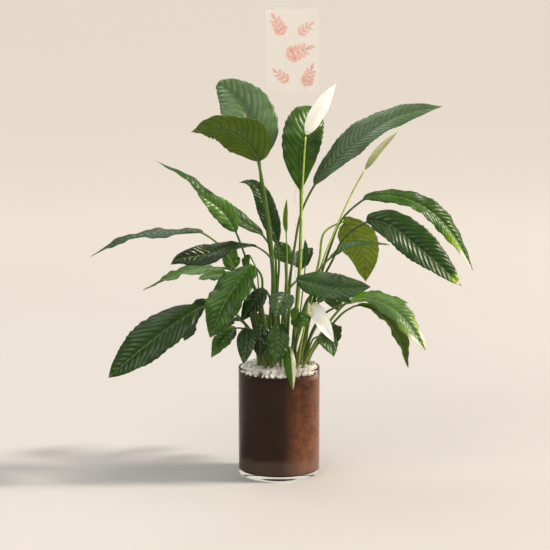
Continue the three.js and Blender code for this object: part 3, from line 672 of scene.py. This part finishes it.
def stem_line(leaf):
    """Points and radii of a petiole that runs on under its blade as the midrib."""
    points, radii = [], []
    reach = leaf["start"] + MIDRIB_END * leaf["length"]
    for i in range(STEM_STEPS + 1):
        s = reach * (i / STEM_STEPS) ** 0.9
        place, _, face, _ = frame_on(leaf, s)
        t = (s - leaf["start"]) / leaf["length"]
        if t <= 0:
            marks = leaf["marks"][:len(leaf["radii"])]
            radius = follow(marks, leaf["radii"], min(s, marks[-1]))
        else:
            radius = leaf["radii"][-1] * (1 - 0.85 * min(1, t / 0.9) ** 0.6)
        sink = min(1, max(0, (t + 0.02) * 9))
        points.append(place - face * (sink * (radius + GROOVE * (1 - max(0, t)) * MM)))
        radii.append(radius)
    return points, radii


SMALL_HALF = 20              # mm of half-width below which a blade keeps the plain outline
MATURE_BELLY = 0.45          # where the other blades are widest


def grow_leaf(name):
    """One leaf: its blade and its petiole, joined."""
    draw = random.Random(name)
    leaf = read_leaf(name, at_foot)
    young = SLOT_OF[name] == "young_leaf"
    tone, curl = LEAF_TONES.get(name, (draw.uniform(0.15, 0.4), draw.uniform(0.05, 0.1)))
    grain = VEIN_PITCH * min(1.1, max(0.72, leaf["half"] / (42 * MM)))
    finishes = (YOUNG_UPPER, YOUNG_UNDER) if young else (MATURE_UPPER, MATURE_UNDER)
    quilt = (YOUNG_QUILT if young else QUILT) * min(1, leaf["half"] / (30 * MM))
    plain = young or leaf["half"] < SMALL_HALF * MM
    belly = BELLIES.get(name, 0.0 if plain else MATURE_BELLY)
    blade = blade_sheet(leaf, draw, (*finishes, PETIOLE), tone=tone, curl=curl, quilt=quilt,
                        grain=grain, patch=WHITENED_PATCHES.get(name, (1, 0, 0)),
                        belly=belly, haze_and_sheen=PAINTED_SHEEN_LEAVES.get(name, 0.0))
    stem_tone = draw.uniform(0.6, 1) if name in PALE_STEMS else draw.uniform(0.05, 0.7)
    stem_tone = STEM_TONES.get(name, stem_tone)
    stem = rod(*stem_line(leaf), stem_tone, PETIOLE)
    take(blade, stem)
    bpy.ops.object.join()
    settle(bpy.context.object, "grown_" + name, name)


for node_name in sorted(n for n in frame["nodes"] if n.startswith("leaf_")):
    grow_leaf(node_name)


# ---- Flowers --------------------------------------------------------------------------
STALK_STEPS = 40


def grow_stalk(name):
    """A flower's bare round stalk; gives back its top end."""
    _, rings, _ = rings_of(name, at_foot)
    points = [middle(ring) for ring in rings]
    radii = [(ring[0] - middle(ring)).length for ring in rings]
    marks = [0.0]
    for a, b in zip(points, points[1:]):
        marks.append(marks[-1] + (b - a).length)
    steps = [marks[-1] * i / STALK_STEPS for i in range(STALK_STEPS + 1)]
    fine = [follow(marks, points, s) for s in steps]
    stalk = rod(fine, [follow(marks, radii, s) for s in steps], 0.7, FLOWER_STALK)
    settle(stalk, "fine_" + name, name)
    return fine[-1]


def grow_spathe(number, finish, stalk_end):
    """A spathe: one cupped blade with no petiole."""
    name = f"spathe_{number}"
    draw = random.Random(name)
    leaf = read_leaf(name, lambda point: (point - stalk_end).length, 0)
    spathe = blade_sheet(leaf, draw, (finish,), tone=0.5, curl=0.05, quilt=0.12, grain=9,
                         cup=True)
    settle(spathe, "fine_" + name, name)


SPADIX_RADIUS = 3.8          # mm
FLORET = 2.2                 # mm from one floret to the next
FLORET_RISE = 0.5            # mm that a floret stands out
FLORET_SPIRALS = 5


def grow_spadix(name):
    """A spadix: a blunt finger set all over with small round florets."""
    low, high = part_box(name)
    points = [v.co.copy() for v in frame["nodes"][name].data.vertices]
    far = max(points, key=lambda p: (p - points[0]).length)
    other = max(points, key=lambda p: (p - far).length)
    axis = (far - other).normalized()
    length, centre = (far - other).length, (low + high) / 2
    let_go()
    bpy.ops.mesh.primitive_uv_sphere_add(segments=40, ring_count=60, radius=1)
    spadix = bpy.context.object
    turn = Vector((0, 0, 1)).rotation_difference(axis).to_matrix()
    thick = SPADIX_RADIUS * MM
    for vertex in spadix.data.vertices:
        x, y, z = vertex.co
        angle = math.atan2(y, x)
        rows = z * length / 2 / (FLORET * MM)
        spiral, climb = angle * FLORET_SPIRALS, rows * 3.1
        bump = math.cos(spiral + climb) * math.cos(spiral - climb)
        waist = thick * (1 - 0.15 * z) + FLORET_RISE * MM * bump * math.hypot(x, y)
        vertex.co = centre + turn @ Vector((x * waist, y * waist, z * length / 2))
    spadix.data.materials.append(SPADIX)
    spadix.data.polygons.foreach_set("use_smooth", [True] * len(spadix.data.polygons))
    settle(spadix, "fine_" + name, name)


def spadix_finish():
    """Spadix of packed florets: cream, with green between them."""
    made, put = blank("spadix_florets")
    place = put("ShaderNodeTexCoord").outputs["Object"]
    cells = put("ShaderNodeTexVoronoi", {"Vector": place, "Scale": 1 / (FLORET * MM)})
    gap = put("ShaderNodeMapRange", {0: cells.outputs["Distance"], 1: 0.25, 2: 0.7}, **SMOOTH)
    body = put("ShaderNodeMix", {0: gap, 6: srgb("#efeed2"), 7: srgb("#a9b36a")}, **COLOURS)
    skin = put("ShaderNodeBsdfPrincipled", {"Base Color": body, "Roughness": 0.55, "IOR": 1.4})
    put("ShaderNodeOutputMaterial", {"Surface": skin})
    return made


SPADIX = spadix_finish()
for flower, finish in ((1, WHITE_SPATHE), (2, YOUNG_SPATHE), (3, WHITE_SPATHE)):
    grow_spathe(flower, finish, grow_stalk(f"flower_stalk_{flower}"))
for node_name in ("spadix_1", "spadix_3"):
    grow_spadix(node_name)


def grow_bud():
    """A furled bud on its own thin stalk."""
    leaf = read_leaf("flower_bud", at_foot)
    sheet = blade_sheet(leaf, random.Random("bud"), (YOUNG_UPPER, YOUNG_UNDER, PETIOLE),
                        tone=0.75, curl=0.03, quilt=0.1, grain=6)
    stem = rod(*stem_line(leaf), 0.8, PETIOLE)
    take(sheet, stem)
    bpy.ops.object.join()
    settle(bpy.context.object, "fine_flower_bud", "flower_bud")


grow_bud()


# ---- Vase, soil and chips -------------------------------------------------------------
def turned(profile, steps):
    """A profile in the XZ plane, spun round the Z axis into a closed body."""
    data = bpy.data.meshes.new("turned")
    data.from_pydata([(r, 0, z) for r, z in profile],
                     [(i, i + 1) for i in range(len(profile) - 1)], [])
    made = bpy.data.objects.new("turned", data)
    bpy.context.scene.collection.objects.link(made)
    take(made)
    edit(lambda: bpy.ops.mesh.spin(steps=steps, angle=2 * math.pi, center=(0, 0, 0),
                                   axis=(0, 0, 1)))
    edit(lambda: bpy.ops.mesh.remove_doubles(threshold=0.01 * MM),
         lambda: bpy.ops.mesh.normals_make_consistent(inside=False))
    made.data.polygons.foreach_set("use_smooth", [True] * len(made.data.polygons))
    return made


def corner(x, z, radius, start, end, steps=8):
    """Points of a rounded corner, by angle in degrees."""
    turns = [math.radians(start + (end - start) * i / steps) for i in range(steps + 1)]
    return [(x + radius * math.cos(a), z + radius * math.sin(a)) for a in turns]


VASE_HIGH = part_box("glass_vase")[1]
VASE_RADIUS = VASE_HIGH.x
VASE_TOP = VASE_HIGH.z
SOIL_LOW, SOIL_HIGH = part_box("soil")
SOIL_RADIUS = SOIL_HIGH.x
VASE_WALL = VASE_RADIUS - SOIL_RADIUS - 0.15 * MM
VASE_FLOOR = SOIL_LOW.z - 0.3 * MM


def glass_finish():
    """Soda-lime glass, blown thin and clear: it shows by its thick foot and rim and by
    faint, slightly wavering reflections. It bends light less than real glass does, so that
    the soil behind it stays dark and clear and the rim stays light."""
    made, put = blank("clear_soda_lime_glass")
    place = put("ShaderNodeTexCoord").outputs["Object"]
    flow = put("ShaderNodeTexNoise", {"Vector": place, "Scale": 1 / (60 * MM), "Detail": 1})
    bump = put("ShaderNodeBump", {"Strength": 0.25, "Distance": 1 * MM, "Height": flow})
    skin = put("ShaderNodeBsdfPrincipled", {
        "Base Color": srgb("#fafdfb"), "Roughness": 0.0, "IOR": 1.2,
        "Specular IOR Level": 0.5, "Transmission Weight": 1.0, "Normal": bump})
    clear = put("ShaderNodeBsdfTransparent", {"Color": srgb("#f4f7f5")})
    path = put("ShaderNodeLightPath")
    both = put("ShaderNodeMixShader", {0: path.outputs["Is Shadow Ray"], 1: skin, 2: clear})
    put("ShaderNodeOutputMaterial", {"Surface": both})
    return made


CRUMB_STOPS = (0.3, 0.5, 0.66, 0.82)     # where the four shades of a crumb stand


def soil_finish():
    """Potting soil of peat and bark fines, moist: dark red-brown crumbs a few millimetres
    across, lighter and redder towards the right, which is painted light from that side,
    and greyer towards the bottom."""
    made, put = blank("moist_potting_soil")
    place = put("ShaderNodeTexCoord").outputs["Object"]
    crumbs = put("ShaderNodeTexNoise", {
        "Vector": place, "Scale": 1 / (3.2 * MM), "Detail": 5, "Roughness": 0.65})
    body = put("ShaderNodeValToRGB", {0: crumbs})
    colour_stops(body, zip(CRUMB_STOPS, ("#0f0603", "#21110a", "#352014", "#644634")))
    # Painted light: lighter, redder crumbs on the right, the side the light comes from.
    painted_lit_crumbs = put("ShaderNodeValToRGB", {0: crumbs})
    colour_stops(painted_lit_crumbs, zip(CRUMB_STOPS, ("#361b10", "#593320", "#6c412a", "#966e51")))
    right, _, level = put("ShaderNodeSeparateXYZ", {0: place}).outputs
    painted_light_right = put("ShaderNodeMapRange", {0: right, 1: 4 * MM, 2: 40 * MM}, **SMOOTH)
    body = put("ShaderNodeMix", {0: painted_light_right, 6: body, 7: painted_lit_crumbs}, **COLOURS)
    clods = put("ShaderNodeTexNoise", {"Vector": place, "Scale": 1 / (16 * MM), "Detail": 3})
    damp = put("ShaderNodeMapRange", {0: clods, 1: 0.4, 2: 0.65, 4: 0.4}, **SMOOTH)
    body = put("ShaderNodeMix", {0: damp, 6: body, 7: srgb("#190c07")}, **COLOURS)
    uneven = put("ShaderNodeMath", {0: clods, 1: 0.012, 2: level}, operation="MULTIPLY_ADD")
    # Greyer towards the bottom.
    greyer_bottom_share = put("ShaderNodeMapRange", {
        0: uneven, 1: 38 * MM, 2: 48 * MM, 3: 0.45, 4: 0}, **SMOOTH)
    body = put("ShaderNodeMix", {0: greyer_bottom_share, 6: body, 7: srgb("#51423a")}, **COLOURS)
    bump = put("ShaderNodeBump", {"Strength": 0.4, "Distance": 0.8 * MM, "Height": crumbs})
    skin = put("ShaderNodeBsdfPrincipled", {
        "Base Color": body, "Roughness": 0.85, "Specular IOR Level": 0.1, "Normal": bump})
    put("ShaderNodeOutputMaterial", {"Surface": skin})
    return made


def quartz_finish():
    """Crushed white quartz: sugary, matt and a little translucent, some chips creamier."""
    made, put = blank("crushed_white_quartz")
    place = put("ShaderNodeTexCoord").outputs["Object"]
    tone = put("ShaderNodeAttribute", attribute_name="tone").outputs["Fac"]
    body = put("ShaderNodeValToRGB", {0: tone})
    colour_stops(body, [(0, "#ddd5c9"), (0.25, "#f3efe7"), (1, "#fffefc")])
    dust = put("ShaderNodeTexNoise", {"Vector": place, "Scale": 1 / (4 * MM), "Detail": 4})
    stain = put("ShaderNodeMapRange", {0: dust, 1: 0.52, 2: 0.75, 4: 0.3}, **SMOOTH)
    body = put("ShaderNodeMix", {0: stain, 6: body, 7: srgb("#dacdbc")}, **COLOURS)
    sugar = put("ShaderNodeTexNoise", {"Vector": place, "Scale": 1 / (1.4 * MM), "Detail": 5})
    bump = put("ShaderNodeBump", {"Strength": 0.5, "Distance": 0.4 * MM, "Height": sugar})
    skin = put("ShaderNodeBsdfPrincipled", {
        "Base Color": body, "Roughness": 0.42, "IOR": 1.54, "Normal": bump})
    glow = put("ShaderNodeBsdfTranslucent", {"Color": body})
    both = put("ShaderNodeMixShader", {0: 0.18, 1: skin, 2: glow})
    put("ShaderNodeOutputMaterial", {"Surface": both})
    return made


FOOT_ROUND, BORE_ROUND = 6 * MM, 5 * MM
HOLLOW = 0.6 * MM            # that the underside is sunk inside its standing ring
VASE_FACETS, SOIL_FACETS = 128, 160


def build_vase():
    """The vase: a rounded foot, a fire-polished lip and a rounded bore."""
    lip = VASE_WALL / 2
    inner = VASE_RADIUS - VASE_WALL
    profile = [(0, HOLLOW), (VASE_RADIUS - 14 * MM, HOLLOW), (VASE_RADIUS - 10 * MM, 0)]
    profile += corner(VASE_RADIUS - FOOT_ROUND, FOOT_ROUND, FOOT_ROUND, -90, 0)
    profile += corner(VASE_RADIUS - lip, VASE_TOP - lip, lip, 0, 180, 10)
    profile += corner(inner - BORE_ROUND, VASE_FLOOR + BORE_ROUND, BORE_ROUND, 0, -90)
    profile += [(0, VASE_FLOOR)]
    vase = turned(profile, VASE_FACETS)
    vase.data.materials.append(glass_finish())
    settle(vase, "spun_glass_vase", "glass_vase")


SOIL_SINK = 5.5 * MM         # mean depth of its surface under its highest place
SOIL_SLOPE, SOIL_LUMP = 4 * MM, 2.2 * MM


def soil_top(x, y):
    """The soil's surface, which is lower at the right, and lumpy."""
    slope = -SOIL_SLOPE * x / SOIL_RADIUS
    lumps = SOIL_LUMP * math.sin(x / (9 * MM) + 1) * math.cos(y / (13 * MM))
    return SOIL_HIGH.z - SOIL_SINK + slope + lumps


CONTACT = 0.75               # mm that wet soil reaches into the glass, so that no air shows
SOIL_ROUND = 5 * MM
SOIL_LEVELS, SOIL_RINGS = 70, 16         # steps up its side and in across its top


def build_soil():
    """The soil: a turned plug, lumpy and grained on top."""
    radius, low = SOIL_RADIUS + CONTACT * MM, SOIL_LOW.z
    rise = SOIL_ROUND
    profile = [(0, low), (radius * 0.5, low), (radius - rise, low)]
    profile += corner(radius - rise, low + rise, rise, -90, 0, 4)[1:]
    profile += [(radius, low + rise + (SOIL_HIGH.z - low - rise) * i / SOIL_LEVELS)
                for i in range(1, SOIL_LEVELS + 1)]
    profile += [(radius * (1 - i / SOIL_RINGS), SOIL_HIGH.z) for i in range(1, SOIL_RINGS + 1)]
    soil = turned(profile, SOIL_FACETS)
    for vertex in soil.data.vertices:
        x, y, z = vertex.co
        grain = noise.noise(vertex.co / (3 * MM))
        share = (z - low) / (SOIL_HIGH.z - low)
        if share > 0.02:
            z = low + share * (soil_top(x, y) - low)
        vertex.co = (x, y, z + 0.4 * MM * grain * (share > 0.5))
    soil.data.materials.append(soil_finish())
    settle(soil, "crumbly_soil", "soil")


CHIP_BREAKS = 6              # flat faces that a chip is broken to


def cut_chip(draw):
    """One angular chip: a faceted ball, broken flat on several sides."""
    let_go()
    bpy.ops.mesh.primitive_ico_sphere_add(subdivisions=2, radius=1)
    chip = bpy.context.object

    def breaks():
        for _ in range(CHIP_BREAKS):
            way = Vector([draw.gauss(0, 1) for _ in range(3)]).normalized()
            bpy.ops.mesh.select_all(action="SELECT")
            bpy.ops.mesh.bisect(plane_co=way * draw.uniform(0.5, 0.8), plane_no=way,
                                use_fill=True, clear_outer=True)

    edit(breaks)
    chip.data.transform(Matrix.Diagonal((1, draw.uniform(0.7, 0.95), draw.uniform(0.5, 0.8), 1)))
    return chip


CHIP_KINDS = 9
CHIP_LAYERS = ((250, 1.2), (210, 6.0), (190, 10.5))      # how many, and mm below the top
CHIP_SIZE, SLID_SIZE = (3.4, 6.6), (2.6, 3.6)            # least and most radius in mm
SLID_TURNS = (-0.9, -0.55, -1.25, -1.9, -2.4, 0.4, 2.2)  # where chips slid down the glass
GOLDEN_TURN = 2.39996        # spreads a layer evenly
CROWN = 0.5 * MM             # that the top layer drops towards the glass


def build_chips():
    """The chips, dropped in three layers on the soil and joined into one piece."""
    draw = random.Random("chips")
    masters = [cut_chip(draw) for _ in range(CHIP_KINDS)]
    low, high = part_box("pebble_layer")
    reach = high.x - 0.4 * MM
    copies = []

    def drop(r, angle, z, size):
        r = min(r, reach - size * 0.95)
        master = draw.choice(masters)
        chip = bpy.data.objects.new("chip", master.data.copy())
        bpy.context.scene.collection.objects.link(chip)
        turn = Matrix.Rotation(draw.uniform(0, 6.28), 4, "Z")
        lean, hinge = draw.gauss(0, 0.5), Vector((draw.gauss(0, 1), draw.gauss(0, 1), 0.1))
        tilt = Matrix.Rotation(lean, 4, hinge)
        place = Matrix.Translation((r * math.cos(angle), r * math.sin(angle), z))
        chip.data.transform(place @ tilt @ turn @ Matrix.Scale(size, 4))
        carry(chip, "tone", [draw.random()] * len(chip.data.vertices))
        copies.append(chip)

    for layer, (count, depth) in enumerate(CHIP_LAYERS):
        for i in range(count):
            r = reach * math.sqrt((i + 0.5) / count)
            angle = i * GOLDEN_TURN + layer + draw.uniform(-0.05, 0.05)
            edge = max(0, (r - 0.62 * reach) / (0.38 * reach))
            z = high.z - depth * MM - CROWN * edge * (layer == 0) + draw.uniform(-0.8, 0.8) * MM
            z = max(z, soil_top(r * math.cos(angle), r * math.sin(angle)) + 1 * MM)
            drop(r + draw.uniform(-1.5, 1.5) * MM, angle, z, draw.uniform(*CHIP_SIZE) * MM)
    for angle in SLID_TURNS:
        z = soil_top(reach * math.cos(angle), reach * math.sin(angle)) - draw.uniform(1, 4) * MM
        drop(reach, angle, z, draw.uniform(*SLID_SIZE) * MM)
    for master in masters:
        bpy.data.objects.remove(master)
    take(*copies)
    bpy.ops.object.join()
    chips = bpy.context.object
    chips.data.materials.clear()
    chips.data.materials.append(quartz_finish())
    settle(chips, "quartz_chips", "pebble_layer")


build_vase()
build_soil()
build_chips()


# ---- Clear topper and its printed sprigs ----------------------------------------------
def acrylic_finish():
    """Cast acrylic sheet, cut and polished: clear, with a faint milky bloom on its faces
    and a bright line at its edges."""
    made, put = blank("clear_cast_acrylic")
    place = put("ShaderNodeTexCoord").outputs["Object"]
    haze_and_sheen = put("ShaderNodeTexNoise", {"Vector": place, "Scale": 1 / (30 * MM), "Detail": 3})
    haze = put("ShaderNodeMapRange", {0: haze_and_sheen, 1: 0.35, 2: 0.7, 3: 0.02, 4: 0.06}, **SMOOTH)
    skin = put("ShaderNodeBsdfPrincipled", {
        "Base Color": srgb("#fffdfb"), "Roughness": haze, "IOR": 1.35,
        "Transmission Weight": 0.88})
    put("ShaderNodeOutputMaterial", {"Surface": skin})
    return made


def ink_finish():
    """Screen-printed ink: flat, matt, dusty pink, a little thinner in places."""
    made, put = blank("matt_pink_ink")
    place = put("ShaderNodeTexCoord").outputs["Object"]
    thin = put("ShaderNodeTexNoise", {"Vector": place, "Scale": 1 / (3 * MM), "Detail": 3})
    share = put("ShaderNodeMapRange", {0: thin, 1: 0.3, 2: 0.7}, **SMOOTH)
    body = put("ShaderNodeMix", {0: share, 6: srgb("#dba99d"), 7: srgb("#e2b9af")}, **COLOURS)
    skin = put("ShaderNodeBsdfPrincipled", {"Base Color": body, "Roughness": 0.6})
    put("ShaderNodeOutputMaterial", {"Surface": skin})
    return made


topper = frame["nodes"]["clear_topper"]
topper.data.materials.clear()
topper.data.materials.append(acrylic_finish())
CARD_LOW, CARD_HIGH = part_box("clear_topper")


INK_GAP, INK_THICKNESS = 0.12, 0.1       # mm


def print_sprig(name, x, z, length, lean, pairs):
    """A generic sprig: a thin stem with pairs of small oval leaves."""
    let_go()
    shapes = []
    front = CARD_LOW.y - INK_GAP * MM

    def petal(at, way, long, wide):
        bpy.ops.mesh.primitive_circle_add(vertices=20, radius=1, fill_type="NGON")
        disc = bpy.context.object
        for vertex in disc.data.vertices:
            u, v = vertex.co.x, vertex.co.y
            v *= (1 - 0.45 * u * u)
            a, b = (0.5 + 0.5 * u) * long, 0.5 * v * wide
            across = Vector((-way.y, way.x))
            spot = at + way * a + across * b
            vertex.co = (spot.x, front, spot.y)
        shapes.append(disc)

    axis = Vector((math.sin(lean), math.cos(lean)))
    foot = Vector((x, z)) - axis * (length / 2)
    petal(foot, axis, length * 0.94, 1.3 * MM)
    for i in range(pairs):
        at = foot + axis * (length * (0.2 + 0.62 * i / pairs))
        size = length * (0.34 - 0.03 * i)
        for hand in (-1, 1):
            turn = lean + hand * 0.85
            petal(at, Vector((math.sin(turn), math.cos(turn))), size, size * 0.46)
    petal(foot + axis * length * 0.78, axis, length * 0.3, length * 0.13)
    take(*shapes)
    bpy.ops.object.join()
    sprig = bpy.context.object
    edit(lambda: bpy.ops.mesh.normals_make_consistent(inside=False))
    finish_with(sprig, "SOLIDIFY", thickness=INK_THICKNESS * MM, offset=0)
    sprig.data.materials.clear()
    sprig.data.materials.append(INK)
    sprig.name = sprig.data.name = name
    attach(sprig, "root")


INK = ink_finish()
CARD_X = (CARD_LOW.x + CARD_HIGH.x) / 2
print_sprig("printed_sprig_upper", CARD_X - 24 * MM, CARD_HIGH.z - 33 * MM, 52 * MM, -0.5, 4)
print_sprig("printed_sprig_right", CARD_X + 22 * MM, CARD_HIGH.z - 38 * MM, 40 * MM, 0.9, 3)
print_sprig("printed_sprig_middle", CARD_X + 8 * MM, CARD_HIGH.z - 80 * MM, 62 * MM, 1.2, 4)
print_sprig("printed_sprig_lower", CARD_X + 29 * MM, CARD_HIGH.z - 126 * MM, 50 * MM, 0.35, 4)
print_sprig("printed_sprig_small", CARD_X - 18 * MM, CARD_HIGH.z - 124 * MM, 42 * MM, -0.9, 3)


# ---- Floor ----------------------------------------------------------------------------
def floor_finish():
    """Matt studio sweep, pale and grey, and paler with distance so that it meets the wall
    evenly."""
    made, put = blank("pale_studio_floor")
    place = put("ShaderNodeTexCoord").outputs["Object"]
    cloud = put("ShaderNodeTexNoise", {"Vector": place, "Scale": 1 / (400 * MM), "Detail": 3})
    near = put("ShaderNodeMix", {0: cloud, 6: srgb("#9f9d9c"), 7: srgb("#a3a1a0")}, **COLOURS)
    reach = put("ShaderNodeVectorMath", {0: place}, operation="LENGTH").outputs["Value"]
    far = put("ShaderNodeMapRange", {0: reach, 1: 0.3, 2: 4}, **SMOOTH)
    body = put("ShaderNodeMix", {0: far, 6: near, 7: srgb("#c6c4c4")}, **COLOURS)
    skin = put("ShaderNodeBsdfPrincipled", {"Base Color": body, "Roughness": 0.8})
    put("ShaderNodeOutputMaterial", {"Surface": skin})
    return made


let_go()
bpy.ops.mesh.primitive_plane_add(size=120, location=(0, 0, -0.2 * MM))
floor = bpy.context.object
floor.name = "studio_floor"
floor.data.materials.append(floor_finish())
